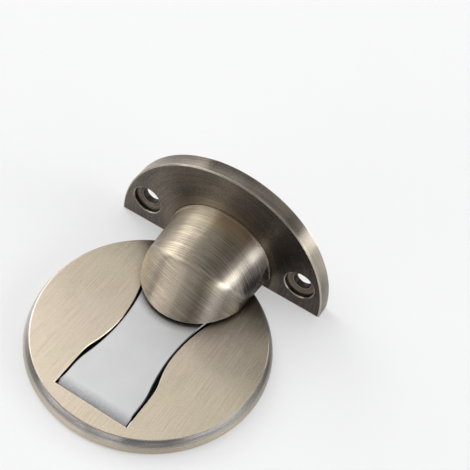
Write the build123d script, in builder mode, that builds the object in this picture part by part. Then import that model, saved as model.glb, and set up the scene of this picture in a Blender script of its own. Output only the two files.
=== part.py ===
"""Magnetic door stop: a floor half with a pop-up flap and a door half with a magnet.

Millimetres, +Z up. The origin is the centre of the floor half, at floor level.
+Y points from the floor half to the door. The flap's hinge runs along X.
"""

import os
from math import cos, radians, sin, sqrt, tan

from build123d import *

os.makedirs("parts", exist_ok=True)

# Floor half: cover, base plate and pad
plate_radius = 31.5
plate_height = 4.2
flank_width = 1.6
flank_radius = 8.0
cover_wall = 2.2
base_thickness = 1.1
pad_thickness = 0.45
pad_inset = 0.9
edge_break = 0.15

# Flap and its hinge
hinge_margin = 8.4
knuckle_radius = 1.75
knuckle_gap = 0.2
roll_radius = 8.0
roll_length = 3.9
pin_radius = 0.9
pin_clearance = 0.05
pin_seat = 3.0
pin_chamfer = 0.2
flap_thickness = 1.5
flap_hinge_half = 9.9
flap_waist_half = 8.05
flap_waist_y = -2.5
flap_end = 13.5
flap_lower_radius = 50.0
flap_shoulder_radius = 20.0
flap_upper_radius = 55.0
flap_edge_break = 0.25

# Cut-out in the cover, around the flap
cut_hinge_half = 10.45
cut_waist_half = 8.4
cut_waist_y = -2.0
cut_end_gap = 0.5
cut_lower_radius = 28.0
cut_shoulder_radius = 14.0
cut_upper_radius = 40.0
ledge_width = 2.0
ledge_gap = 0.05

# Door half: flange
flange_gap = 1.2
flange_radius = 31.6
flange_rise = 0.5
flange_depth = 4.4
flange_web = 3.7
flange_rim = 2.2
flange_chamfer = 0.3

# Screw holes in the flange
hole_margin = 7.6
hole_height = 8.3
hole_radius = 2.4
head_radius = 4.3
head_lip = 1.2
sink_angle = 140
lip_chamfer = 0.2

# Door half: boss and magnet
boss_axis_height = 3.8
boss_base_radius = 15.7
boss_taper = 4.0
boss_length = 27.0
boss_gap = 0.9
bead_width = 0.6
bead_height = 0.3
nose_inset = 0.3
nose_angle = 58.5
nose_flare = 4.0
crease_radius = 2.5
rim_break = 0.2
magnet_radius = 8.0
magnet_thickness = 3.5
magnet_clearance = 0.05
magnet_setback = 12.5

# Screws that hold the boss on the flange
boss_screw_spacing = 14.0
boss_screw_height = 12.0
boss_screw_radius = 2.0
boss_screw_head = 3.8
boss_screw_reach = 7.0
thread_runout = 1.0

# Heights and places that follow from the sizes above
base_top = pad_thickness + base_thickness
base_radius = plate_radius - cover_wall
pin_height = plate_height - knuckle_radius
hinge_y = hinge_margin - plate_radius
cut_front = hinge_y - knuckle_radius - knuckle_gap
cut_end = flap_end + cut_end_gap
flap_bottom = plate_height - flap_thickness
pin_half = cut_hinge_half + pin_seat
flange_front = plate_radius + flange_gap
hole_spacing = 2 * (flange_radius - hole_margin)
underside = plate_height + boss_gap
tip_y = flange_front - boss_length
nose_radius = boss_base_radius - nose_inset
magnet_y = tip_y + magnet_setback
web_back = flange_front + flange_web
flange_back = flange_front + flange_depth

hinge_plane = Plane(origin=(0, hinge_y, pin_height), x_dir=(0, 1, 0), z_dir=(1, 0, 0))
door_face = Plane(origin=(0, flange_front, 0), x_dir=(1, 0, 0), z_dir=(0, -1, 0))
web_face = Plane(origin=(0, web_back, 0), x_dir=(-1, 0, 0), z_dir=(0, 1, 0))
back_face = Plane(origin=(0, flange_back, 0), x_dir=(-1, 0, 0), z_dir=(0, 1, 0))


def hourglass(front, end, wide, waist, waist_y, lower, shoulder, upper):
    """Outline of the flap or its cut-out: straight at the hinge, then drawn in to a waist."""
    step = wide - waist
    reach = lower + shoulder
    side_end = waist_y - sqrt(2 * reach * step - step**2)
    share = lower / reach
    turn = (waist + lower - (reach - step) * share, waist_y - (waist_y - side_end) * share)
    end_x = waist + upper - sqrt(upper**2 - (end - waist_y) ** 2)
    with BuildSketch() as outline:
        with BuildLine():
            Polyline((0, front), (wide, front), (wide, side_end))
            RadiusArc((wide, side_end), turn, -shoulder)
            RadiusArc(turn, (waist, waist_y), lower)
            RadiusArc((waist, waist_y), (end_x, end), upper)
            Polyline((end_x, end), (0, end), (0, front))
        make_face()
        mirror(about=Plane.YZ)
    return outline.sketch


def cut_outline(end):
    """Outline of the cover's cut-out, closed at the given end."""
    sides = (cut_hinge_half, cut_waist_half, cut_waist_y)
    arcs = (cut_lower_radius, cut_shoulder_radius, cut_upper_radius)
    return hourglass(cut_front, end, *sides, *arcs)


def flap_outline():
    """Outline of the flap's flat part, from the hinge axis to the free end."""
    sides = (flap_hinge_half, flap_waist_half, flap_waist_y)
    arcs = (flap_lower_radius, flap_shoulder_radius, flap_upper_radius)
    return hourglass(hinge_y, flap_end, *sides, *arcs)


def flange_outline(margin):
    """Half-round outline of the flange, drawn in all round by a margin."""
    with BuildSketch() as outline:
        with Locations((0, flange_rise)):
            Circle(flange_radius - margin)
        with Locations((0, margin)):
            Rectangle(
                2 * flange_radius,
                flange_radius + flange_rise,
                align=(Align.CENTER, Align.MIN),
                mode=Mode.INTERSECT,
            )
    return outline.sketch


# The cover is turned with a convex flank, then milled for the flap, the ledge at the flap's
# free end and the pin's slots
foot_edge = (plate_radius, pad_thickness)
top_edge = (plate_radius - flank_width, plate_height)
with BuildPart() as floor_plate:
    with BuildSketch(Plane.XZ):
        with BuildLine():
            Polyline(
                top_edge,
                (0, plate_height),
                (0, base_top),
                (base_radius, base_top),
                (base_radius, pad_thickness),
                foot_edge,
            )
            RadiusArc(foot_edge, top_edge, -flank_radius)
        make_face()
    revolve(axis=Axis.Z)
    extrude(
        Plane.XY.offset(base_top) * cut_outline(cut_end - ledge_width),
        amount=plate_height,
        mode=Mode.SUBTRACT,
    )
    extrude(
        Plane.XY.offset(flap_bottom - ledge_gap) * cut_outline(cut_end),
        amount=plate_height,
        mode=Mode.SUBTRACT,
    )
    with BuildSketch(hinge_plane):
        Circle(pin_radius)
        Rectangle(2 * pin_radius, pin_height - base_top, align=(Align.CENTER, Align.MAX))
    extrude(amount=pin_half, both=True, mode=Mode.SUBTRACT)
    chamfer(floor_plate.edges().group_by(Axis.Z)[-1], length=edge_break)
floor_plate.part.label = "floor_plate"
export_step(floor_plate.part, "parts/floor_plate.step")

# The base plate is pressed into the cover from below and has a window for the flap's knuckle
with BuildPart() as base_plate:
    with BuildSketch(Plane.XY.offset(pad_thickness)):
        Circle(base_radius)
        with Locations((0, hinge_y)):
            Rectangle(
                2 * cut_hinge_half,
                2 * (knuckle_radius + knuckle_gap),
                mode=Mode.SUBTRACT,
            )
    extrude(amount=base_thickness)
base_plate.part.label = "base_plate"
export_step(base_plate.part, "parts/base_plate.step")

# The pad sticks the floor half down
with BuildPart() as adhesive_pad:
    with BuildSketch():
        Circle(plate_radius - pad_inset)
    extrude(amount=pad_thickness)
adhesive_pad.part.label = "adhesive_pad"
export_step(adhesive_pad.part, "parts/adhesive_pad.step")

# The hinge pin lies in the cover's slots, and the base plate keeps it there
with BuildPart() as hinge_pin:
    with BuildSketch(hinge_plane):
        Circle(pin_radius)
    extrude(amount=pin_half, both=True)
    chamfer(hinge_pin.edges().filter_by(GeomType.CIRCLE), length=pin_chamfer)
hinge_pin.part.label = "hinge_pin"
export_step(hinge_pin.part, "parts/hinge_pin.step")

# The flap is a waisted plate with a knuckle along its straight end, where its top rolls down
roll_front = hinge_y - knuckle_radius
roll_start = (roll_front + roll_length, plate_height)
roll_end = (roll_front, plate_height - roll_radius + sqrt(roll_radius**2 - roll_length**2))
with BuildPart() as flap:
    extrude(Plane.XY.offset(flap_bottom) * flap_outline(), amount=flap_thickness)
    side_edges = flap.faces().sort_by(Axis.Z)[-1].edges().filter_by_position(
        Axis.Y, hinge_y + edge_break, flap_end
    )
    chamfer(side_edges, length=flap_edge_break)
    with BuildSketch(hinge_plane):
        Circle(knuckle_radius)
    extrude(amount=flap_hinge_half, both=True)
    with BuildSketch(Plane.YZ):
        with BuildLine():
            RadiusArc(roll_start, roll_end, -roll_radius)
            Polyline(roll_end, (roll_front, plate_height + knuckle_gap))
            Polyline((roll_front, plate_height + knuckle_gap), roll_start)
        make_face()
    extrude(amount=flap_hinge_half, both=True, mode=Mode.SUBTRACT)
    with BuildSketch(hinge_plane):
        Circle(pin_radius + pin_clearance)
    extrude(amount=flap_hinge_half, both=True, mode=Mode.SUBTRACT)
flap.part.label = "flap"
export_step(flap.part, "parts/flap.step")

# The flange is a half-round shell with a hollow back and two countersunk holes
with BuildPart() as door_flange:
    extrude(door_face * flange_outline(0), amount=-flange_depth)
    extrude(
        back_face * flange_outline(flange_rim),
        amount=-(flange_depth - flange_web),
        mode=Mode.SUBTRACT,
    )
    chamfer(door_flange.faces().sort_by(Axis.Y)[0].edges(), length=flange_chamfer)
    with Locations(door_face):
        with GridLocations(hole_spacing, 0, 2, 1):
            with Locations((0, hole_height)):
                Hole(head_radius, depth=head_lip)
    front = door_flange.faces().sort_by(Axis.Y)[0]
    chamfer(front.edges().filter_by(lambda edge: edge.is_closed), length=lip_chamfer)
    with Locations(door_face.offset(-head_lip)):
        with GridLocations(hole_spacing, 0, 2, 1):
            with Locations((0, hole_height)):
                CounterSinkHole(hole_radius, head_radius, counter_sink_angle=sink_angle)
    with Locations(web_face):
        with GridLocations(boss_screw_spacing, 0, 2, 1):
            with Locations((0, boss_screw_height)):
                CounterSinkHole(boss_screw_radius, boss_screw_head, counter_sink_angle=90)
door_flange.part.label = "door_flange"
export_step(door_flange.part, "parts/door_flange.step")

# The boss is turned to a slight taper, cut by a leaning cylinder for its nose, milled flat
# underneath, and bored for the magnet and the screws
lean = radians(nose_angle)
boss_front_radius = boss_base_radius - tan(radians(boss_taper)) * boss_length
boss_axis = Axis((0, 0, boss_axis_height), (0, 1, 0))
nose_plane = Plane(
    origin=(0, tip_y, underside),
    x_dir=(1, 0, 0),
    z_dir=(0, cos(lean), sin(lean)),
)
with BuildPart() as magnet_boss:
    with BuildSketch(Plane.YZ):
        with Locations((flange_front, boss_axis_height)):
            Polygon(
                (0, 0),
                (0, boss_base_radius + bead_height),
                (-bead_width, boss_base_radius + bead_height),
                (-bead_width, boss_base_radius),
                (-boss_length, boss_front_radius),
                (-boss_length, 0),
                align=None,
            )
    revolve(axis=boss_axis)
    with BuildSketch(nose_plane):
        with BuildLine():
            ThreePointArc((-nose_radius, nose_radius), (0, 0), (nose_radius, nose_radius))
            Polyline(
                (nose_radius, nose_radius),
                (nose_radius + nose_flare, 2 * boss_length),
                (-nose_radius - nose_flare, 2 * boss_length),
                (-nose_radius, nose_radius),
            )
        make_face()
    extrude(amount=2 * boss_length, both=True, mode=Mode.INTERSECT)
    fillet(magnet_boss.edges().filter_by(GeomType.BSPLINE), radius=crease_radius)
    split(bisect_by=Plane.XY.offset(underside), keep=Keep.TOP)
    bottom = magnet_boss.faces().sort_by(Axis.Z)[0]
    nose_edges = bottom.edges().filter_by_position(Axis.Y, tip_y, flange_front - bead_width)
    chamfer(nose_edges, length=rim_break)
    with BuildSketch(Plane.XY.offset(underside)):
        with Locations((0, magnet_y)):
            Circle(magnet_radius + magnet_clearance)
    extrude(amount=magnet_thickness, mode=Mode.SUBTRACT)
    with BuildSketch(door_face):
        with GridLocations(boss_screw_spacing, 0, 2, 1):
            with Locations((0, boss_screw_height)):
                Circle(boss_screw_radius)
    extrude(amount=boss_screw_reach + thread_runout, mode=Mode.SUBTRACT)
magnet_boss.part.label = "magnet_boss"
export_step(magnet_boss.part, "parts/magnet_boss.step")

# The magnet is glued into the boss, flush with its underside
with BuildPart() as magnet:
    with BuildSketch(Plane.XY.offset(underside)):
        with Locations((0, magnet_y)):
            Circle(magnet_radius)
    extrude(amount=magnet_thickness)
    chamfer(magnet.edges().group_by(Axis.Z)[0], length=rim_break)
magnet.part.label = "magnet"
export_step(magnet.part, "parts/magnet.step")

# Two countersunk screws go from the flange's hollow back into the boss
head_depth = boss_screw_head - boss_screw_radius
with BuildPart() as boss_screws:
    for side in (-1, 1):
        place = (side * boss_screw_spacing / 2, 0, boss_screw_height)
        with BuildSketch(Plane.YZ.offset(place[0])):
            with Locations((web_back, boss_screw_height)):
                Polygon(
                    (0, 0),
                    (0, boss_screw_head),
                    (-head_depth, boss_screw_radius),
                    (-flange_web - boss_screw_reach, boss_screw_radius),
                    (-flange_web - boss_screw_reach, 0),
                    align=None,
                )
        revolve(axis=Axis(place, (0, 1, 0)))
boss_screws.part.label = "boss_screws"
export_step(boss_screws.part, "parts/boss_screws.step")
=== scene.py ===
# %% [markdown]
# # A magnetic door stop in brushed antique bronze
# The stop has two halves. A low round plate lies on the floor and holds a waisted steel flap on a
# hinge. A half-round flange is screwed to the door and carries a rounded boss with a magnet in it.
# The CAD model already has each solid at its true size, so this lesson loads it as a fixed frame
# and adds what a drawing can't show: finishes, light, a camera and two small detailed pieces.
# Blender counts in metres here, and mm turns the millimetres of a drawing into metres.

import math

import bpy
from mathutils import Matrix, Vector


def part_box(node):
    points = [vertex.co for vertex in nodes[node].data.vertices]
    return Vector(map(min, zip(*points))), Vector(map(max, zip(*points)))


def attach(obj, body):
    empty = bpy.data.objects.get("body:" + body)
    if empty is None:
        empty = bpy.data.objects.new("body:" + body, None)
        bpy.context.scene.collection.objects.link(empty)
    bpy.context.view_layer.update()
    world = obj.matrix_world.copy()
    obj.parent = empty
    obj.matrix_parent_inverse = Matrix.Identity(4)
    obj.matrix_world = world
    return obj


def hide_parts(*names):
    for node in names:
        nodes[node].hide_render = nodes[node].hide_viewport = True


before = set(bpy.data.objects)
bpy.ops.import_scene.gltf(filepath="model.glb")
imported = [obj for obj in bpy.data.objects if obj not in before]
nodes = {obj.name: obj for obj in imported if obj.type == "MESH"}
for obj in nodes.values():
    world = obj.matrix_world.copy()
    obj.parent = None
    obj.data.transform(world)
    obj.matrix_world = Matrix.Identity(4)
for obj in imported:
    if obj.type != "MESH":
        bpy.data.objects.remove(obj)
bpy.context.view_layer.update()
mm = 0.001
for name in sorted(nodes):
    print(name, len(nodes[name].data.polygons), "faces")

# %% [markdown]
# ## The camera
# The photograph looks down at about fifty degrees, a little from the right, with the picture
# rolled by twelve degrees. A camera can be placed by hand until the outlines agree. Here a fit to
# the circles and edges of the photograph gave the numbers: an azimuth, an elevation, a roll, a
# distance and a sideways pan, for a focal length of 1000 pixels. The three camera axes follow from
# the angles, and they are the columns of the camera's matrix.

# %% Place the camera
view_azimuth = math.radians(22.41)
view_elevation = math.radians(49.63)
view_roll = math.radians(11.77)
view_distance = 253.37 * mm
pan_right = 21.60 * mm
pan_up = 27.09 * mm
picture_side = 470
focal_length_px = 1000
sensor_width = 36
nearest_seen = 10 * mm

flat_back = Vector((math.sin(view_azimuth), -math.cos(view_azimuth), 0))
back = math.cos(view_elevation) * flat_back + Vector((0, 0, math.sin(view_elevation)))
level = Vector((math.cos(view_azimuth), math.sin(view_azimuth), 0))
rise = back.cross(level)
right = math.cos(view_roll) * level + math.sin(view_roll) * rise
up = math.cos(view_roll) * rise - math.sin(view_roll) * level

camera = bpy.data.objects.new("camera", bpy.data.cameras.new("camera"))
bpy.context.scene.collection.objects.link(camera)
turned = Matrix((right, up, back)).transposed().to_4x4()
turned.translation = view_distance * back + pan_right * right + pan_up * up
camera.matrix_world = turned
camera.data.sensor_width = sensor_width
camera.data.lens = focal_length_px / picture_side * sensor_width
camera.data.clip_start = nearest_seen
bpy.context.scene.camera = camera
print("camera at", [round(v, 3) for v in camera.matrix_world.translation])

# %% [markdown]
# ## Helpers for shader nodes
# Every finish below is a small network of shader nodes. Made by hand, each node is added, its menu
# options are chosen, and its inputs are typed in or linked. The first helpers do that in one line,
# for any node, a Math node, a Mix node or a noise, so that a formula reads almost like a formula.
# The next ones start a material, join a finish to its shader, start a node group and place one.


# %% Helpers that add nodes
def fill(tree, socket, value):
    """Link a socket to another node's output, or type a plain value into it."""
    if isinstance(value, bpy.types.NodeSocket):
        tree.links.new(value, socket)
    else:
        socket.default_value = value


def add_node(tree, kind, inputs=None, **options):
    """Add a node, set its options, then fill its inputs, named or numbered."""
    made = tree.nodes.new(kind)
    for option, value in options.items():
        setattr(made, option, value)
    for socket, value in (inputs or {}).items():
        fill(tree, made.inputs[socket], value)
    return made


def calc(tree, operation, *terms):
    """Add a Math node and return its result."""
    return add_node(tree, "ShaderNodeMath", dict(enumerate(terms)), operation=operation).outputs[0]


def blend_of(tree, share, first, second, kind="FLOAT"):
    """Add a Mix node for numbers, vectors or colours and return its result."""
    made = add_node(tree, "ShaderNodeMix", data_type=kind)
    shown = [socket for socket in made.inputs if socket.enabled]
    for socket, value in zip(shown, (share, first, second)):
        fill(tree, socket, value)
    return next(socket for socket in made.outputs if socket.enabled)


def cloud_of(tree, place, per_metre, detail):
    """Add a noise with about so many patches to the metre and return its value."""
    inputs = {"Vector": place, "Scale": per_metre, "Detail": detail}
    return add_node(tree, "ShaderNodeTexNoise", inputs).outputs["Fac"]


def parts_of(tree, vector):
    """The X, Y and Z of a vector."""
    return add_node(tree, "ShaderNodeSeparateXYZ", {0: vector}).outputs


# %% Helpers that start materials and groups
def start_material(name):
    """A new material, its tree, its Principled shader and the Object coordinates."""
    material = bpy.data.materials.new(name)
    material.use_nodes = True
    tree = material.node_tree
    shader = tree.nodes["Principled BSDF"]
    place = tree.nodes.new("ShaderNodeTexCoord").outputs["Object"]
    return material, tree, shader, place


def finish_shader(tree, shader, tone, roughness, relief=None, metallic=1.0):
    """Join a tone, a roughness and a relief to a shader, which is metal if not told otherwise."""
    shader.inputs["Metallic"].default_value = metallic
    tree.links.new(tone, shader.inputs["Base Color"])
    tree.links.new(roughness, shader.inputs["Roughness"])
    if relief:
        tree.links.new(relief.outputs["Normal"], shader.inputs["Normal"])


def start_group(name, inputs, outputs):
    """A new node group with number inputs, given with their values, and typed outputs."""
    tree = bpy.data.node_groups.new(name, "ShaderNodeTree")
    for label, value in inputs.items():
        socket = tree.interface.new_socket(label, in_out="INPUT", socket_type="NodeSocketFloat")
        socket.default_value = value
    for label, kind in outputs.items():
        tree.interface.new_socket(label, in_out="OUTPUT", socket_type="NodeSocket" + kind)
    return tree, tree.nodes.new("NodeGroupInput").outputs, tree.nodes.new("NodeGroupOutput").inputs


def use_group(tree, group, **inputs):
    """Place a group in a tree, fill its inputs by name and return its outputs."""
    return add_node(tree, "ShaderNodeGroup", inputs, node_tree=group).outputs


# %% [markdown]
# ## Masks by place
# Dark tone stays where no belt or hand reaches, and wear comes where they do, so the masks below ask
# where a point lies on its piece. They could be painted by hand, but a formula stays sharp at any
# size. A smooth step goes from 0 to 1 between two limits, in either direction, and a region is a
# product of such steps, like a box with soft walls. Around turns a place into a distance from an
# axis and a way round it, which the lines on round pieces follow. On several pieces such masks also
# lay painted shade and painted highlights by place.


# %% Helpers that make masks
def step_between(tree, value, low, high):
    """A smooth step from 0 at low to 1 at high."""
    limits = {"Value": value, "From Min": low, "From Max": high}
    made = add_node(tree, "ShaderNodeMapRange", limits, interpolation_type="SMOOTHSTEP")
    return made.outputs["Result"]


def region(tree, *limits):
    """A mask that is 1 where every value has gone from its first limit to its second."""
    mask = 1.0
    for value, low, high in limits:
        mask = calc(tree, "MULTIPLY", mask, step_between(tree, value, low, high))
    return mask


def outside(tree, mask):
    """The opposite of a mask."""
    return calc(tree, "SUBTRACT", 1.0, mask)


def plus(tree, base, mask, amount):
    """The base value, and the amount on top of it where the mask is 1."""
    return calc(tree, "MULTIPLY_ADD", mask, amount, base)


def around(tree, side, height, radius):
    """Distance from an axis, and the way round it measured on a circle of the given radius."""
    spot = add_node(tree, "ShaderNodeCombineXYZ", {"X": side, "Y": height})
    away = add_node(tree, "ShaderNodeVectorMath", {0: spot.outputs[0]}, operation="LENGTH")
    angle = calc(tree, "ARCTAN2", side, height)
    return away.outputs["Value"], calc(tree, "MULTIPLY", angle, radius)


# %% [markdown]
# ## Brush lines
# An abrasive belt leaves fine parallel lines in the metal. An image of scratches would do, but it
# has to be unwrapped, and it repeats. A noise texture that is squeezed across the lines and
# stretched along them gives the same look at any size. The group takes two distances in metres,
# one across the lines and one along them, so each piece can lay its lines its own way: straight
# on the plate, round the axis on the boss, in arcs on the flange.

# %% Group of brush lines
fine_lines_per_metre = 5000
broad_lines_per_metre = 1500
fine_detail = 3.0
broad_detail = 2.0
line_crispness = 0.6
line_length = 12 * mm

brush_lines, given, result = start_group(
    "brush_lines",
    {"Across": 0.0, "Along": 0.0},
    {"Lines": "Float", "Bands": "Float"},
)
stretched = calc(brush_lines, "DIVIDE", given["Along"], line_length)
for label, per_metre, detail in (
    ("Lines", fine_lines_per_metre, fine_detail),
    ("Bands", broad_lines_per_metre, broad_detail),
):
    squeezed = calc(brush_lines, "MULTIPLY", given["Across"], per_metre)
    spot = add_node(brush_lines, "ShaderNodeCombineXYZ", {"X": squeezed, "Y": stretched}).outputs[0]
    noise = add_node(
        brush_lines,
        "ShaderNodeTexNoise",
        {"Vector": spot, "Scale": 1.0, "Detail": detail, "Roughness": line_crispness},
        noise_dimensions="2D",
    )
    brush_lines.links.new(noise.outputs["Fac"], result[label])
print("brush lines:", fine_lines_per_metre, "fine and", broad_lines_per_metre, "broad per metre")

# %% [markdown]
# ## Worn edges
# Handling and the last polish take the dark tone off the edges, which then shine as pale lines.
# The Bevel node gives the normal that a rounded edge would have. Where that differs from the true
# normal there is an edge near, so the difference of the two is a mask, with no painting by hand.

# %% Group of worn edges
edge_width = 0.3 * mm
likeness_on_a_face = 0.995
likeness_on_an_edge = 0.93

worn_edges, given, result = start_group("worn_edges", {"Width": edge_width}, {"Worn": "Float"})
rounded = add_node(worn_edges, "ShaderNodeBevel", {"Radius": given["Width"]}, samples=6).outputs[0]
true_normal = worn_edges.nodes.new("ShaderNodeNewGeometry").outputs["Normal"]
likeness = add_node(
    worn_edges,
    "ShaderNodeVectorMath",
    {0: rounded, 1: true_normal},
    operation="DOT_PRODUCT",
).outputs["Value"]
worn = add_node(
    worn_edges,
    "ShaderNodeMapRange",
    {"Value": likeness, "From Min": likeness_on_a_face, "From Max": likeness_on_an_edge},
).outputs["Result"]
worn_edges.links.new(worn, result["Worn"])
print("worn edges group has", len(worn_edges.nodes), "nodes")

# %% [markdown]
# ## Antique bronze
# The finish starts as bright bronze plating. It is darkened in a bath, then brushed, so the dark
# tone stays low in the lines, in cloudy patches and in a fine grain. The group mixes a bright and a
# dark bronze by those, and another cloud turns the bright tone from olive to brown. The input for
# patina says how much of the dark tone a spot keeps, Contrast how strongly its lines show, the input
# for bare metal how far the plating is polished through to the grey metal under it, and Warm how
# brown it stays near a joint. On several pieces these two inputs also carry painted shade, painted
# highlights and a painted grey reflection, set by place.

# %% Tones of antique bronze
brown_bronze = (0.54, 0.450, 0.355, 1.0)
olive_bronze = (0.53, 0.462, 0.338, 1.0)
dark_bronze = (0.055, 0.045, 0.040, 1.0)
rubbed_bronze = (0.74, 0.66, 0.55, 1.0)
bare_metal = (0.56, 0.55, 0.54, 1.0)
warm_bronze = (0.47, 0.34, 0.21, 1.0)

antique_bronze, given, result = start_group(
    "antique_bronze",
    {
        "Lines": 0.5,
        "Bands": 0.5,
        "Patina": 0.2,
        "Contrast": 0.5,
        "Bare": 0.0,
        "Warm": 0.0,
        "Worn": 0.0,
        "Gloss": 0.35,
    },
    {"Color": "Color", "Roughness": "Float"},
)
print("bronze from", brown_bronze[:3], "to", dark_bronze[:3])

# %% How dark each spot of bronze is
cloud_detail = 3.0
patches_per_metre = 110
grains_per_metre = 3200
band_weight = 0.10
patch_weight = 0.20
grain_weight = 0.40

tree = antique_bronze
place = tree.nodes.new("ShaderNodeTexCoord").outputs["Object"]
fine = calc(tree, "SUBTRACT", given["Lines"], 0.5)
broad = calc(tree, "SUBTRACT", given["Bands"], 0.5)
patchy = calc(tree, "SUBTRACT", cloud_of(tree, place, patches_per_metre, cloud_detail), 0.5)
grainy = calc(tree, "SUBTRACT", cloud_of(tree, place, grains_per_metre, cloud_detail), 0.5)
darkness = plus(tree, given["Patina"], fine, given["Contrast"])
darkness = plus(tree, darkness, broad, band_weight)
darkness = plus(tree, darkness, patchy, patch_weight)
darkness = plus(tree, darkness, grainy, grain_weight)
dark_share = add_node(tree, "ShaderNodeClamp", {"Value": darkness}).outputs[0]
print("dark tone from lines, bands, patches and grain")

# %% Colour and roughness of bronze
hues_per_metre = 45
all_brown = 0.35
all_olive = 0.65
worn_strength = 0.8
line_dulling = 0.18
patch_dulling = 0.08

hue = cloud_of(tree, place, hues_per_metre, cloud_detail)
olive_share = add_node(
    tree,
    "ShaderNodeMapRange",
    {"Value": hue, "From Min": all_brown, "From Max": all_olive},
).outputs["Result"]
tone = blend_of(tree, olive_share, brown_bronze, olive_bronze, "RGBA")
tone = blend_of(tree, given["Bare"], tone, bare_metal, "RGBA")
tone = blend_of(tree, given["Warm"], tone, warm_bronze, "RGBA")
tone = blend_of(tree, dark_share, tone, dark_bronze, "RGBA")
rubbed = calc(tree, "MULTIPLY", given["Worn"], worn_strength)
tone = blend_of(tree, rubbed, tone, rubbed_bronze, "RGBA")
dulled = plus(tree, given["Gloss"], fine, line_dulling)
dulled = plus(tree, dulled, patchy, patch_dulling)
tree.links.new(tone, result["Color"])
tree.links.new(dulled, result["Roughness"])
print("antique bronze group has", len(tree.nodes), "nodes")

# %% [markdown]
# ## Bronze on each piece
# A brushed metal stretches its highlights across the lines. The Principled shader does that with
# its Anisotropic value, and the Tangent input says which way: across the lines. The function below
# joins the bronze group to a shader, so each piece only has to say where its lines run and how its
# tone changes. A hole can be spared the pale edges, because nothing rubs there.

# %% Functions that finish a shader in bronze
line_depth = 0.012 * mm
line_strength = 0.6
stretch = 0.9


def brush(tree, across, along):
    """Fine lines and broad bands, laid by the two distances."""
    made = use_group(tree, brush_lines, Across=across, Along=along)
    return made["Lines"], made["Bands"]


def brushed_bronze(tree, shader, brushed, tangent, spared=0.0, **finish):
    """Join the bronze group to a shader. The finish gives the group's other inputs by name."""
    lines, bands = brushed
    worn = use_group(tree, worn_edges)["Worn"]
    worn = calc(tree, "MULTIPLY", worn, outside(tree, spared))
    bronze = use_group(tree, antique_bronze, Lines=lines, Bands=bands, Worn=worn, **finish)
    cut = {"Height": lines, "Strength": line_strength, "Distance": line_depth}
    relief = add_node(tree, "ShaderNodeBump", cut)
    finish_shader(tree, shader, bronze["Color"], bronze["Roughness"], relief)
    shader.inputs["Anisotropic"].default_value = stretch
    tree.links.new(tangent, shader.inputs["Tangent"])


# %% [markdown]
# ## The floor plate
# The plate's top is brushed straight, from the hinge to the door. Its flank was finished on a lathe,
# so its lines run round the plate and it is glossier. The distance from the centre tells top from
# flank, so one material can carry both and meets at the edge without a seam.

# %% Lay the lines of the floor plate
plate_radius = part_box("floor_plate")[1].x
plate_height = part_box("floor_plate")[1].z
flank_width = 1.6 * mm
edge_radius = plate_radius - flank_width
edge_softness = 0.05 * mm

plate_bronze, tree, shader, place = start_material("plate_bronze")
xyz = parts_of(tree, place)
away, way_round = around(tree, xyz["X"], xyz["Y"], plate_radius)
on_flank = step_between(tree, away, edge_radius - edge_softness, edge_radius + edge_softness)
across = blend_of(tree, on_flank, xyz["X"], xyz["Z"])
along = blend_of(tree, on_flank, xyz["Y"], way_round)
tangent = blend_of(tree, on_flank, (1.0, 0.0, 0.0), (0.0, 0.0, 1.0), "VECTOR")
brushed = brush(tree, across, along)
print("plate", round(plate_radius / mm * 2, 1), "mm across,", round(plate_height / mm, 1), "mm high")

# %% [markdown]
# ## The plate's dark and bright places
# These tones were set place by place, by comparing spots of the render with the photograph.
# The flank's pale foot and dark grey shoulder are painted reflection and shade: the shoulder is
# darkest at the front left and palest at the far left, and the flank is darker to the right. The top
# is bright, with painted shade that darkens it towards the door. The walls of the cut-out lie below
# the top, where no brush reaches, so they stay dark. A dark ring at the outline of the nose, darker to
# its right, is painted shade that deepens the shade there, which the lamps alone leave too pale.

# %% Tone of the flank
shoulder_low = 1.6 * mm
shoulder_high = 3.0 * mm

# Painted reflection and shade: a pale foot and a dark grey shoulder, darker at the front left and to the
# right, paler at the far left.
on_shoulder = step_between(tree, xyz["Z"], shoulder_low, shoulder_high)
front_left = region(tree, (xyz["Y"], -14 * mm, -26 * mm), (xyz["X"], 10 * mm, -4 * mm))
far_left = step_between(tree, xyz["X"], -23 * mm, -30 * mm)
on_right = step_between(tree, xyz["X"], 8 * mm, 22 * mm)
shoulder_painted_shade = plus(tree, 0.46, front_left, 0.26)
shoulder_painted_shade = plus(tree, shoulder_painted_shade, far_left, -0.34)
flank_painted_shade = calc(tree, "MULTIPLY", on_shoulder, shoulder_painted_shade)
flank_painted_shade = plus(tree, flank_painted_shade, on_right, 0.10)
flank_bare_and_painted_grey = plus(tree, 0.15, on_shoulder, 0.75)
print("shoulder begins", round(shoulder_low / mm, 1), "mm up")

# %% Footprint of the nose
nose_lean = math.radians(58.5)
nose_radius = 15.4 * mm
nose_tip = Vector((0.0, 5.7, 5.1)) * mm
nose_length = nose_radius / math.sin(nose_lean)


def nose_reach(tree, side, ahead):
    """Distance from the middle of the nose's footprint, which is 1 at its outline."""
    from_middle = calc(tree, "SUBTRACT", ahead, nose_tip.y + nose_length)
    across_share = calc(tree, "DIVIDE", side, nose_radius)
    along_share = calc(tree, "DIVIDE", from_middle, nose_length)
    return around(tree, across_share, along_share, 1.0)[0]


print("nose reaches over", round(nose_length / mm * 2, 1), "mm")

# %% Tone of the top
top_patina = 0.06
below_top = step_between(tree, xyz["Z"], plate_height - 0.3 * mm, plate_height - 0.6 * mm)
patina_and_painted_light = blend_of(tree, on_flank, calc(tree, "MAXIMUM", below_top, top_patina), flank_painted_shade)
# Painted shade: the top darkens towards the door, and sooner to the right.
doorward = plus(tree, xyz["Y"], xyz["X"], 0.35)
patina_and_painted_light = plus(tree, patina_and_painted_light, step_between(tree, doorward, 2 * mm, 22 * mm), 0.30)
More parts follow.
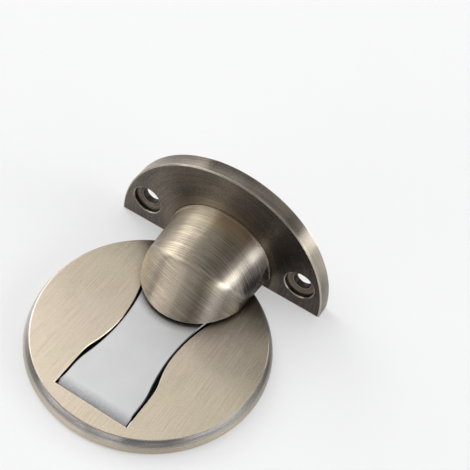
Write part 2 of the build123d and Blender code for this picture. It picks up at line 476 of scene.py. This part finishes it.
# Painted shade: a dark ring round the outline of the nose, darker to its right.
from_nose = nose_reach(tree, xyz["X"], xyz["Y"])
on_ring = region(tree, (from_nose, 1.12, 0.99), (from_nose, 0.82, 0.92))
painted_ring_shade = plus(tree, 0.15, step_between(tree, xyz["X"], -4 * mm, 4 * mm), 0.36)
patina_and_painted_light = plus(tree, patina_and_painted_light, on_ring, painted_ring_shade)
bare = blend_of(tree, on_flank, 0.07, flank_bare_and_painted_grey)
gloss = blend_of(tree, on_flank, 0.32, 0.28)
brushed_bronze(tree, shader, brushed, tangent, Patina=patina_and_painted_light, Contrast=0.62, Bare=bare, Gloss=gloss)
print("plate bronze has", len(tree.nodes), "nodes")

# %% [markdown]
# ## The boss
# The boss is round about the door's normal, and its lines run round that axis. Its nose is part of
# a second, leaning cylinder, and was held to the belt at a slant of its own. A Mapping node set to
# Texture moves the coordinates into the leaning cylinder, where the distance from the axis shows
# whether a point lies on the nose. There the lines are cut by parallel slanting planes. The two sets
# of lines are mixed, and not their coordinates, so that no line is smeared where they meet.

# %% Lay the lines of the boss
boss_axis_height = 3.8 * mm
boss_radius = 15.7 * mm
brush_side = Vector((0.18, 0.79, 0.585)).normalized()
nose_centre = nose_tip + nose_radius * Vector((0.0, math.sin(nose_lean), -math.cos(nose_lean)))

boss_bronze, tree, shader, place = start_material("boss_bronze")
xyz = parts_of(tree, place)
above = calc(tree, "SUBTRACT", xyz["Z"], boss_axis_height)
_, way_round = around(tree, xyz["X"], above, boss_radius)
leaning = add_node(
    tree,
    "ShaderNodeMapping",
    {0: place, "Location": nose_centre, "Rotation": (nose_lean - math.pi / 2, 0.0, 0.0)},
    vector_type="TEXTURE",
)
nose_xyz = parts_of(tree, leaning.outputs[0])
forward = calc(tree, "MULTIPLY", nose_xyz["Y"], -1.0)
nose_away, nose_way = around(tree, nose_xyz["X"], forward, nose_radius)
on_nose = step_between(tree, nose_away, nose_radius - 0.9 * mm, nose_radius - 0.1 * mm)
slanting = add_node(tree, "ShaderNodeVectorMath", {0: place, 1: brush_side}, operation="DOT_PRODUCT")
body_brushed = brush(tree, xyz["Y"], way_round)
nose_brushed = brush(tree, slanting.outputs["Value"], nose_way)
brushed = [blend_of(tree, on_nose, *pair) for pair in zip(body_brushed, nose_brushed)]
tangent = blend_of(tree, on_nose, (0.0, 1.0, 0.0), brush_side, "VECTOR")
print("nose centre", [round(v / mm, 2) for v in nose_centre], "mm")

# %% [markdown]
# ## The boss's dark and bright places
# The crease between body and nose carries a painted highlight, and so do the top near the flange
# and the last half millimetre before it. The corner low down by the flange, the right side near the
# flange and a stripe of the nose carry painted shade, and the joint itself is dark. To the right the
# metal is greyer, and the top near the flange a little browner. The lamps alone didn't give these,
# so the tones were set against the photograph in the same way.

# %% Tone of the boss
flange_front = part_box("door_flange")[0].y
# Painted shade in the corner low down by the flange and on the right side near the flange.
corner_shade = region(tree, (xyz["Y"], 17.0 * mm, 21.5 * mm), (xyz["Z"], 12.5 * mm, 8.5 * mm))
right_side_shade = region(
    tree,
    (xyz["X"], 8.5 * mm, 11.5 * mm),
    (xyz["Y"], 20.5 * mm, 23.0 * mm),
    (xyz["Y"], 29.0 * mm, 26.5 * mm),
)
# Painted highlight on the top near the flange, where the tone is also browner.
on_top_end = region(tree, (xyz["Y"], 25.5 * mm, 29.0 * mm), (xyz["Z"], 11.5 * mm, 14.0 * mm))
# Painted shade in a stripe of the nose.
nose_shade_stripe = region(
    tree,
    (xyz["X"], 5.0 * mm, 8.5 * mm),
    (xyz["X"], 14.0 * mm, 11.5 * mm),
    (xyz["Z"], 15.0 * mm, 12.0 * mm),
)
nose_shade_stripe = calc(tree, "MULTIPLY", nose_shade_stripe, on_nose)
# Painted highlights on the crease and on the last half millimetre before the flange; the joint itself is
# dark.
crease_highlight = calc(tree, "MULTIPLY", on_nose, outside(tree, on_nose))
end_highlight = step_between(tree, xyz["Y"], flange_front - 0.6 * mm, flange_front - 0.4 * mm)
in_joint = step_between(tree, xyz["Y"], flange_front - 0.2 * mm, flange_front - 0.1 * mm)
patina_and_painted_light = 0.37
for mask, amount in (
    (corner_shade, 0.45),
    (right_side_shade, 0.30),
    (on_top_end, -0.32),
    (nose_shade_stripe, 0.18),
    (crease_highlight, -1.0),
    (end_highlight, -0.8),
    (in_joint, 2.0),
):
    patina_and_painted_light = plus(tree, patina_and_painted_light, mask, amount)
print("boss has seven dark or bright places")

# %% Finish of the boss
bare = plus(tree, 0.08, step_between(tree, xyz["X"], 5 * mm, 13 * mm), 0.42)
browned = region(tree, (xyz["X"], -6.0 * mm, 1.0 * mm), (xyz["X"], 10.5 * mm, 7.5 * mm))
browned = calc(tree, "MULTIPLY", browned, on_top_end)
brushed_bronze(
    tree,
    shader,
    brushed,
    tangent,
    Patina=patina_and_painted_light,
    Contrast=blend_of(tree, on_nose, 1.4, 1.0),
    Bare=bare,
    Warm=calc(tree, "MULTIPLY", browned, 0.8),
    Gloss=0.42,
)
print("boss bronze has", len(tree.nodes), "nodes")

# %% [markdown]
# ## The flange
# The flange's face carries arcs round the boss, its rim has lines that run along the rim, and each
# screw hole has rings from the countersink. The normal tells face from rim: on the face it points
# along Y. A point lies in a hole when it is near the hole's axis and behind the front.

# %% Lay the lines of the flange
hole_side = 24.0 * mm
hole_height = 8.3 * mm
hole_radius = 4.3 * mm

flange_bronze, tree, shader, place = start_material("flange_bronze")
xyz = parts_of(tree, place)
above = calc(tree, "SUBTRACT", xyz["Z"], boss_axis_height)
away, way_round = around(tree, xyz["X"], above, boss_radius)
facing = tree.nodes.new("ShaderNodeNewGeometry").outputs["Normal"]
facing_y = calc(tree, "ABSOLUTE", parts_of(tree, facing)["Y"])
on_face = step_between(tree, facing_y, 0.6, 0.8)
from_hole, _ = around(
    tree,
    calc(tree, "SUBTRACT", calc(tree, "ABSOLUTE", xyz["X"]), hole_side),
    calc(tree, "SUBTRACT", xyz["Z"], hole_height),
    hole_radius,
)
sunk = step_between(tree, xyz["Y"], flange_front + 0.1 * mm, flange_front + 0.4 * mm)
near_hole = step_between(tree, from_hole, hole_radius + 0.3 * mm, hole_radius)
in_hole = calc(tree, "MULTIPLY", sunk, near_hole)
across = blend_of(tree, on_face, xyz["Y"], away)
across = blend_of(tree, in_hole, across, from_hole)
outward = add_node(tree, "ShaderNodeCombineXYZ", {"X": xyz["X"], "Z": above}).outputs[0]
tangent = blend_of(tree, on_face, (0.0, 1.0, 0.0), outward, "VECTOR")
brushed = brush(tree, across, way_round)

# %% [markdown]
# ## The flange's dark and bright places
# The face keeps most of the dark tone, with painted shade that darkens it further to the right, a
# browner and thinner tone round the boss and a dark seam where the two meet. The rim is dark on top,
# and painted highlights make it paler on its left and right and at the back on the right, with
# painted shade at the back on the left. The chamfer between them is polished, with a painted
# highlight that brightens it to the right. The holes are darkest, with a paler cone. These tones
# were set in the same way. The masks that belong to the front leave out the hollow back.

# %% Tone of the face
in_front = outside(tree, sunk)
# Painted shade darkens the face to the right.
slant = plus(tree, xyz["X"], xyz["Z"], -0.6)
face_right_shade = step_between(tree, slant, -20 * mm, 12 * mm)
by_boss = calc(tree, "MULTIPLY", in_front, step_between(tree, away, 20.5 * mm, 16.0 * mm))
in_seam = calc(tree, "MULTIPLY", in_front, step_between(tree, away, 16.4 * mm, 15.9 * mm))
face_patina_and_shade = plus(tree, 0.82, face_right_shade, 0.14)
face_patina_and_shade = plus(tree, face_patina_and_shade, by_boss, -0.22)
face_patina_and_shade = plus(tree, face_patina_and_shade, in_seam, 0.6)
print("face darkest to the right and in the seam round the boss")

# %% Tone of the rim
# Painted highlights pale the rim on its left and right; at the back, painted shade on the left and a
# painted highlight on the right.
rim_highlight_right = region(tree, (xyz["X"], 19.5 * mm, 26.0 * mm), (xyz["Z"], 9 * mm, 17 * mm))
rim_highlight_left = step_between(tree, xyz["X"], -15 * mm, -27 * mm)
to_back = step_between(tree, xyz["Y"], flange_front + 1.0 * mm, flange_front + 4.2 * mm)
rim_back_shade_and_highlight = plus(tree, 0.18, step_between(tree, xyz["X"], 2 * mm, 12 * mm), -0.32)
rim_patina_and_light = plus(tree, 0.77, rim_highlight_right, -0.42)
rim_patina_and_light = plus(tree, rim_patina_and_light, rim_highlight_left, -0.40)
rim_patina_and_light = plus(tree, rim_patina_and_light, to_back, rim_back_shade_and_highlight)
# The chamfer is polished, with a painted highlight that brightens it to the right.
on_chamfer = region(tree, (facing_y, 0.45, 0.60), (facing_y, 0.93, 0.85))
chamfer_polish_and_highlight = plus(tree, 0.42, step_between(tree, xyz["X"], 0.0, 15 * mm), -0.27)
patina_and_painted_light = blend_of(tree, on_face, rim_patina_and_light, face_patina_and_shade)
patina_and_painted_light = blend_of(tree, on_chamfer, patina_and_painted_light, chamfer_polish_and_highlight)
print("rim paler on its left and right")

# %% Finish of the flange
on_cone = region(tree, (from_hole, 2.4 * mm, 2.6 * mm), (from_hole, 4.25 * mm, 4.10 * mm))
hole_patina = plus(tree, 1.0, on_cone, -0.45)
gloss = blend_of(tree, on_face, 0.31, 0.36)
brushed_bronze(
    tree,
    shader,
    brushed,
    tangent,
    spared=in_hole,
    Patina=blend_of(tree, in_hole, patina_and_painted_light, hole_patina),
    Contrast=blend_of(tree, in_hole, 0.4, 1.6),
    Bare=plus(tree, 0.20, outside(tree, on_face), 0.05),
    Warm=calc(tree, "MULTIPLY", by_boss, 0.6),
    Gloss=blend_of(tree, in_hole, gloss, 0.55),
)
print("flange bronze has", len(tree.nodes), "nodes")

# %% [markdown]
# ## The steel flap
# The flap is stainless steel with a satin, almost even finish, and its rolled end is blasted, so a
# darker speckle thickens towards the hinge. Its sheared sides and its underside are dark from the
# rolling mill, and the faces turned to the right are painted dark as shade. A very fine grain in the
# height and a slow cloud in the roughness keep it from looking like grey plastic. A painted grey shade
# under the nose deepens the shade there, as on the plate.

# %% Grain of satin steel
flap_low, flap_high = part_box("flap")
roll_end = flap_low.y + 3.9 * mm
satin_dark = (0.54, 0.54, 0.54, 1.0)
satin_pale = (0.62, 0.62, 0.62, 1.0)
blasted_grey = (0.43, 0.435, 0.445, 1.0)

satin_steel, tree, shader, place = start_material("satin_steel")
xyz = parts_of(tree, place)
cloud = cloud_of(tree, place, per_metre=180, detail=4.0)
grain = cloud_of(tree, place, per_metre=3600, detail=3.0)
relief = add_node(tree, "ShaderNodeBump", {"Height": grain, "Strength": 0.5, "Distance": 0.01 * mm})
tone = blend_of(tree, cloud, satin_dark, satin_pale, "RGBA")
speckled = region(tree, (xyz["Y"], roll_end, flap_low.y), (grain, 0.62, 0.38))
tone = blend_of(tree, speckled, tone, blasted_grey, "RGBA")
print("flap", round((flap_high.y - flap_low.y) / mm, 1), "mm long")

# %% Dark sides, and painted shade on the right and under the nose
mill_dark_and_shade = (0.055, 0.055, 0.06, 1.0)
nose_shade_grey = (0.16, 0.155, 0.15, 1.0)

facing = tree.nodes.new("ShaderNodeNewGeometry").outputs["Normal"]
sheared = region(
    tree,
    (xyz["Z"], flap_high.z - 0.3 * mm, flap_high.z - 0.8 * mm),
    (xyz["Y"], roll_end, roll_end + 0.2 * mm),
)
tone = blend_of(tree, calc(tree, "MULTIPLY", sheared, 0.9), tone, mill_dark_and_shade, "RGBA")
# Painted shade: faces turned to the right, such as the right chamfer, go dark, while the left stays
# bright.
right_edge_shade = step_between(tree, parts_of(tree, facing)["X"], 0.2, 0.4)
tone = blend_of(tree, right_edge_shade, tone, mill_dark_and_shade, "RGBA")
# Painted shade: a grey patch under the nose, as on the plate.
from_nose = nose_reach(tree, xyz["X"], xyz["Y"])
shade_under_nose = calc(tree, "MULTIPLY", step_between(tree, from_nose, 1.16, 0.97), 0.85)
tone = blend_of(tree, shade_under_nose, tone, nose_shade_grey, "RGBA")
finish_shader(tree, shader, tone, plus(tree, 0.36, cloud, 0.12), relief)
print("satin steel has", len(tree.nodes), "nodes")

# %% [markdown]
# ## Parts that hardly show
# The pin and the screws are zinc-plated steel, the base plate is blackened steel, the pad is black
# foam with glue on both sides, and the magnet is plated with nickel. They show in the gap round the
# flap, when the door half is lifted, or when the stop is turned over, so they get real finishes too.
# Plain colours would do at this size, but two tones mixed by a noise, with a roughness that isn't even
# either, hold up when the camera comes close.

# %% Zinc-plated steel
zinc_dark = (0.34, 0.35, 0.37, 1.0)
zinc_pale = (0.50, 0.50, 0.49, 1.0)

zinc_steel, tree, shader, place = start_material("zinc_steel")
spangle = add_node(tree, "ShaderNodeTexVoronoi", {"Vector": place, "Scale": 900.0}).outputs["Distance"]
cloud = cloud_of(tree, place, per_metre=400, detail=4.0)
tone = blend_of(tree, cloud, zinc_dark, zinc_pale, "RGBA")
relief = add_node(tree, "ShaderNodeBump", {"Height": cloud, "Strength": 0.3, "Distance": 0.02 * mm})
finish_shader(tree, shader, tone, plus(tree, 0.28, spangle, 0.2), relief)
print("zinc from", zinc_dark[:3], "to", zinc_pale[:3])

# %% Blackened steel
oxide_black = (0.018, 0.018, 0.020, 1.0)
oxide_grey = (0.055, 0.055, 0.058, 1.0)

black_steel, tree, shader, place = start_material("black_steel")
cloud = cloud_of(tree, place, per_metre=500, detail=5.0)
tone = blend_of(tree, cloud, oxide_black, oxide_grey, "RGBA")
finish_shader(tree, shader, tone, plus(tree, 0.35, cloud, 0.3))
print("blackened steel from", oxide_black[:3], "to", oxide_grey[:3])

# %% Foam
foam_black = (0.018, 0.018, 0.019, 1.0)
foam_grey = (0.05, 0.05, 0.052, 1.0)

foam_pad, tree, shader, place = start_material("foam_pad")
cells = add_node(tree, "ShaderNodeTexVoronoi", {"Vector": place, "Scale": 3000.0}).outputs["Distance"]
tone = blend_of(tree, cells, foam_black, foam_grey, "RGBA")
relief = add_node(tree, "ShaderNodeBump", {"Height": cells, "Strength": 0.6, "Distance": 0.1 * mm})
finish_shader(tree, shader, tone, plus(tree, 0.7, cells, 0.2), relief, metallic=0.0)
print("foam from", foam_black[:3], "to", foam_grey[:3])

# %% Nickel
nickel_dark = (0.60, 0.57, 0.52, 1.0)
nickel_pale = (0.76, 0.73, 0.68, 1.0)

nickel, tree, shader, place = start_material("nickel")
marks = cloud_of(tree, place, per_metre=700, detail=5.0)
tone = blend_of(tree, marks, nickel_dark, nickel_pale, "RGBA")
finish_shader(tree, shader, tone, plus(tree, 0.12, marks, 0.2))
print("nickel from", nickel_dark[:3], "to", nickel_pale[:3])

# %% [markdown]
# ## Dress the solids
# A solid from the CAD model keeps its mesh. It could be copied and remodelled, but its shape is
# already true, so only its material slot changes.

# %% Give each solid its finish
finishes = {
    "floor_plate": plate_bronze,
    "magnet_boss": boss_bronze,
    "door_flange": flange_bronze,
    "flap": satin_steel,
    "hinge_pin": zinc_steel,
    "base_plate": black_steel,
    "boss_screws": zinc_steel,
    "adhesive_pad": foam_pad,
    "magnet": nickel,
}
for name, material in finishes.items():
    nodes[name].data.materials.clear()
    nodes[name].data.materials.append(material)
print("dressed", len(finishes), "solids")

# %% [markdown]
# ## The screws behind the flange
# Two countersunk screws hold the boss, and their heads lie in the flange's hollow back. The CAD
# screws are plain, because a cross recess is no concern of the fit. One detailed screw is made
# here from a disc: extruded and drawn in for the cone, extruded again for the shank, and cut by
# two tapered bars for the cross. The second screw is a copy with its own mesh.

# %% Model one screw
screw_low, screw_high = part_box("boss_screws")
screw_head_radius = 3.8 * mm
screw_shank_radius = 2.0 * mm
screw_point_radius = 1.2 * mm
screw_side = screw_high.x - screw_head_radius
screw_height = (screw_low.z + screw_high.z) / 2
cone_depth = screw_head_radius - screw_shank_radius
point_length = 1.0 * mm
shank_length = screw_high.y - screw_low.y - cone_depth - point_length
head_centre = Vector((screw_side, screw_high.y, screw_height))

bpy.ops.object.select_all(action="DESELECT")
bpy.ops.mesh.primitive_circle_add(
    vertices=64,
    radius=screw_head_radius,
    fill_type="NGON",
    location=head_centre,
    rotation=(-math.pi / 2, 0.0, 0.0),
)
screw = bpy.context.object
bpy.ops.object.transform_apply(location=True, rotation=True, scale=True)
bpy.ops.object.mode_set(mode="EDIT")
bpy.ops.mesh.select_all(action="SELECT")
depth = 0.0
for length, start_radius, end_radius in (
    (cone_depth, screw_head_radius, screw_shank_radius),
    (shank_length, screw_shank_radius, screw_shank_radius),
    (point_length, screw_shank_radius, screw_point_radius),
):
    depth += length
    bpy.ops.mesh.extrude_region_move(TRANSFORM_OT_translate={"value": (0.0, -length, 0.0)})
    share = end_radius / start_radius
    centre = head_centre - Vector((0.0, depth, 0.0))
    bpy.ops.transform.resize(value=(share, 1.0, share), center_override=centre)
bpy.ops.mesh.select_all(action="SELECT")
bpy.ops.mesh.normals_make_consistent(inside=False)
bpy.ops.object.mode_set(mode="OBJECT")
print("plain screw", len(screw.data.polygons), "faces,", round(depth / mm, 1), "mm long")

# %% Cut the cross recess
recess_depth = 1.4 * mm
recess_length = 4.4 * mm
recess_width = 0.9 * mm
recess_taper = 0.45
smooth_up_to = math.radians(30)

bottom = head_centre - Vector((0.0, recess_depth, 0.0))
for turn in (0.0, math.pi / 2):
    bpy.ops.object.select_all(action="DESELECT")
    bpy.ops.mesh.primitive_cube_add(
        size=1.0,
        location=head_centre,
        rotation=(0.0, turn, 0.0),
        scale=(recess_length, 2 * recess_depth, recess_width),
    )
    bar = bpy.context.object
    bpy.ops.object.transform_apply(location=True, rotation=True, scale=True)
    bpy.ops.object.mode_set(mode="EDIT")
    bpy.ops.mesh.select_all(action="DESELECT")
    bpy.ops.mesh.select_mode(type="FACE")
    bpy.ops.object.mode_set(mode="OBJECT")
    for face in bar.data.polygons:
        face.select = face.normal.y < -0.9
    bpy.ops.object.mode_set(mode="EDIT")
    bpy.ops.transform.resize(value=(recess_taper, 1.0, recess_taper), center_override=bottom)
    bpy.ops.object.mode_set(mode="OBJECT")
    cut = screw.modifiers.new("cross", "BOOLEAN")
    cut.object = bar
    cut.operation = "DIFFERENCE"
    bpy.context.view_layer.objects.active = screw
    bpy.ops.object.modifier_apply(modifier=cut.name)
    bpy.data.objects.remove(bar)
bpy.ops.object.select_all(action="DESELECT")
screw.select_set(True)
bpy.ops.object.shade_smooth_by_angle(angle=smooth_up_to)
print("screw with its cross has", len(screw.data.polygons), "faces")

# %% Copy the screw and join the pair
other_screw = screw.copy()
other_screw.data = screw.data.copy()
bpy.context.scene.collection.objects.link(other_screw)
other_screw.data.transform(Matrix.Translation((-2 * screw_side, 0.0, 0.0)))
bpy.ops.object.select_all(action="DESELECT")
other_screw.select_set(True)
screw.select_set(True)
bpy.context.view_layer.objects.active = screw
bpy.ops.object.join()
screw.name = "cross_screws"
screw.data.materials.clear()
screw.data.materials.append(zinc_steel)
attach(screw, "door_half")
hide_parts("boss_screws")
print("cross screws", len(screw.data.polygons), "faces")

# %% [markdown]
# ## The foam pad
# A thin foam pad glues the floor half down, and only its dark edge shows. Foam that is pressed flat
# bulges at its edge, and the CAD disc has a square one. A bevel would round it, but here a disc is
# extruded in small steps and each new ring is let out or drawn in, so the bulge is half a wave.

# %% Model the pad
pad_low, pad_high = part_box("adhesive_pad")
pad_radius = pad_high.x
pad_thickness = pad_high.z - pad_low.z
pad_bulge = 0.15 * mm
pad_steps = 6
pad_smooth_up_to = math.radians(40)

bpy.ops.object.select_all(action="DESELECT")
ring_radius = pad_radius - pad_bulge
bpy.ops.mesh.primitive_circle_add(
    vertices=128,
    radius=ring_radius,
    fill_type="NGON",
    location=(0.0, 0.0, pad_low.z),
)
foam_disc = bpy.context.object
bpy.ops.object.transform_apply(location=True, rotation=True, scale=True)
bpy.ops.object.mode_set(mode="EDIT")
bpy.ops.mesh.select_all(action="SELECT")
for made_steps in range(1, pad_steps + 1):
    bulge = pad_bulge * math.sin(math.pi * made_steps / pad_steps)
    new_radius = pad_radius - pad_bulge + bulge
    lift = {"value": (0.0, 0.0, pad_thickness / pad_steps)}
    bpy.ops.mesh.extrude_region_move(TRANSFORM_OT_translate=lift)
    share = new_radius / ring_radius
    bpy.ops.transform.resize(value=(share, share, 1.0), center_override=(0.0, 0.0, 0.0))
    ring_radius = new_radius
bpy.ops.mesh.select_all(action="SELECT")
bpy.ops.mesh.normals_make_consistent(inside=False)
bpy.ops.object.mode_set(mode="OBJECT")
bpy.ops.object.shade_smooth_by_angle(angle=pad_smooth_up_to)
foam_disc.name = "foam_disc"
foam_disc.data.materials.append(foam_pad)
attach(foam_disc, "floor_half")
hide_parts("adhesive_pad")
print("foam disc", round(pad_radius / mm * 2, 1), "mm across,", round(pad_thickness / mm, 2), "mm thick")

# %% [markdown]
# ## The table
# The stop lies on a plain pale table, so wide that its edge hardly ever shows. It lies a hair below
# the pad, because two faces in one plane flicker. The camera and the metal see a part of its tone as
# even glow, so the table stays pale without more light on the stop, and it still takes the shadow.
# From below it is clear, so that a view of the stop's underside isn't blocked.

# %% Table top
table_side = 16.0
hair_below = 0.02 * mm
table_dark = (0.915, 0.915, 0.915, 1.0)
table_pale = (0.93, 0.93, 0.93, 1.0)
table_roughness = 0.8
table_shine = 0.2
glow_tone = (0.90, 0.90, 0.90, 1.0)
glow_share = 0.40

bpy.ops.object.select_all(action="DESELECT")
bpy.ops.mesh.primitive_plane_add(size=table_side, location=(0.0, 0.0, -hair_below))
table_top = bpy.context.object
table_top.name = "table_top"
pale_table, tree, shader, place = start_material("pale_table")
mottle = cloud_of(tree, place, per_metre=40, detail=3.0)
tone = blend_of(tree, mottle, table_dark, table_pale, "RGBA")
tree.links.new(tone, shader.inputs["Base Color"])
shader.inputs["Roughness"].default_value = table_roughness
shader.inputs["Specular IOR Level"].default_value = table_shine
table_top.data.materials.append(pale_table)
print("table", table_side, "m wide")

# %% Glow of the table, and its clear underside
glow = add_node(tree, "ShaderNodeEmission", {"Color": glow_tone, "Strength": 1.0}).outputs[0]
rays = tree.nodes.new("ShaderNodeLightPath").outputs
seen = calc(tree, "MAXIMUM", rays["Is Camera Ray"], rays["Is Glossy Ray"])
seen = calc(tree, "MAXIMUM", seen, rays["Is Transmission Ray"])
glowing = calc(tree, "MULTIPLY", seen, glow_share)
lifted = add_node(tree, "ShaderNodeMixShader", {0: glowing, 1: shader.outputs[0], 2: glow}).outputs[0]
from_below = tree.nodes.new("ShaderNodeNewGeometry").outputs["Backfacing"]
clear = tree.nodes.new("ShaderNodeBsdfTransparent").outputs[0]
one_sided = add_node(tree, "ShaderNodeMixShader", {0: from_below, 1: lifted, 2: clear}).outputs[0]
tree.links.new(one_sided, tree.nodes["Material Output"].inputs["Surface"])
print("table glows by a share of", glow_share)

# %% [markdown]
# ## The light
# Metal shows its shape by what it mirrors, so the lamps are round soft boxes placed where the real
# highlights ask for them: a tall group on the left, a long strip with a bright core on the right, a
# low row in front and dim ones behind. An image of a studio would give more detail, but lamps can
# be moved one by one. Each is given as seen from the stop: azimuth, elevation, width and height in
# degrees, then brightness. The first brightnesses came from a fit to the photograph of renders with
# one lamp each. Two lamps were then added, and the rest changed one by one, except back_right
# and the dark grey sky that fills the gaps.

# %% Function for a soft box
lamp_distance = 3.0


def soft_box(name, azimuth, elevation, width, height, brightness):
    """An area lamp that faces the stop, with its place and its size as angles in degrees."""
    turn = math.radians(azimuth)
    tilt = math.radians(elevation)
    flat = Vector((math.sin(turn), -math.cos(turn), 0.0))
    toward = math.cos(tilt) * flat + Vector((0.0, 0.0, math.sin(tilt)))
    lamp = bpy.data.objects.new(name, bpy.data.lights.new(name, "AREA"))
    lamp.data.shape = "ELLIPSE"
    lamp.data.size = 2 * lamp_distance * math.tan(math.radians(width / 2))
    lamp.data.size_y = 2 * lamp_distance * math.tan(math.radians(height / 2))
    lamp.data.energy = math.pi * brightness * math.pi / 4 * lamp.data.size * lamp.data.size_y
    lamp.location = lamp_distance * toward
    lamp.rotation_mode = "QUATERNION"
    lamp.rotation_quaternion = toward.to_track_quat("Z", "Y")
    lamp.visible_camera = False
    bpy.context.scene.collection.objects.link(lamp)
    print(name, round(lamp.data.energy, 2), "W")


# %% Soft boxes and sky
soft_box("left_low", -104.0, 6.0, 60.0, 22.0, 1.6)
soft_box("left_mid", -106.0, 27.0, 56.0, 22.0, 3.9)
soft_box("left_high", -95.0, 48.0, 50.0, 28.0, 2.4)
soft_box("back_left", -142.0, 50.0, 36.0, 18.0, 0.85)
soft_box("back_left_high", -152.0, 66.0, 60.0, 16.0, 0.8)
soft_box("right_strip", 98.0, 18.0, 76.0, 20.0, 4.0)
soft_box("right_core", 98.0, 20.0, 32.0, 18.0, 2.6)
soft_box("right_high", 95.0, 36.0, 50.0, 16.0, 0.8)
soft_box("right_top", 70.0, 62.0, 60.0, 30.0, 0.35)
soft_box("back_low", 180.0, 33.0, 60.0, 18.0, 2.0)
soft_box("back_right", 152.0, 20.0, 36.0, 24.0, 0.6)
soft_box("front_left_low", -33.0, 5.0, 46.0, 22.0, 4.8)
soft_box("front_low", 0.0, 5.0, 36.0, 22.0, 1.8)
soft_box("front_right_low", 48.0, 4.0, 32.0, 20.0, 0.4)
soft_box("top_box", -60.0, 80.0, 50.0, 50.0, 0.45)
sky_grey = (0.14, 0.142, 0.15, 1.0)
sky = bpy.data.worlds.new("sky")
bpy.context.scene.world = sky
sky.use_nodes = True
sky.node_tree.nodes["Background"].inputs["Color"].default_value = sky_grey
bpy.context.scene.view_settings.view_transform = "Standard"
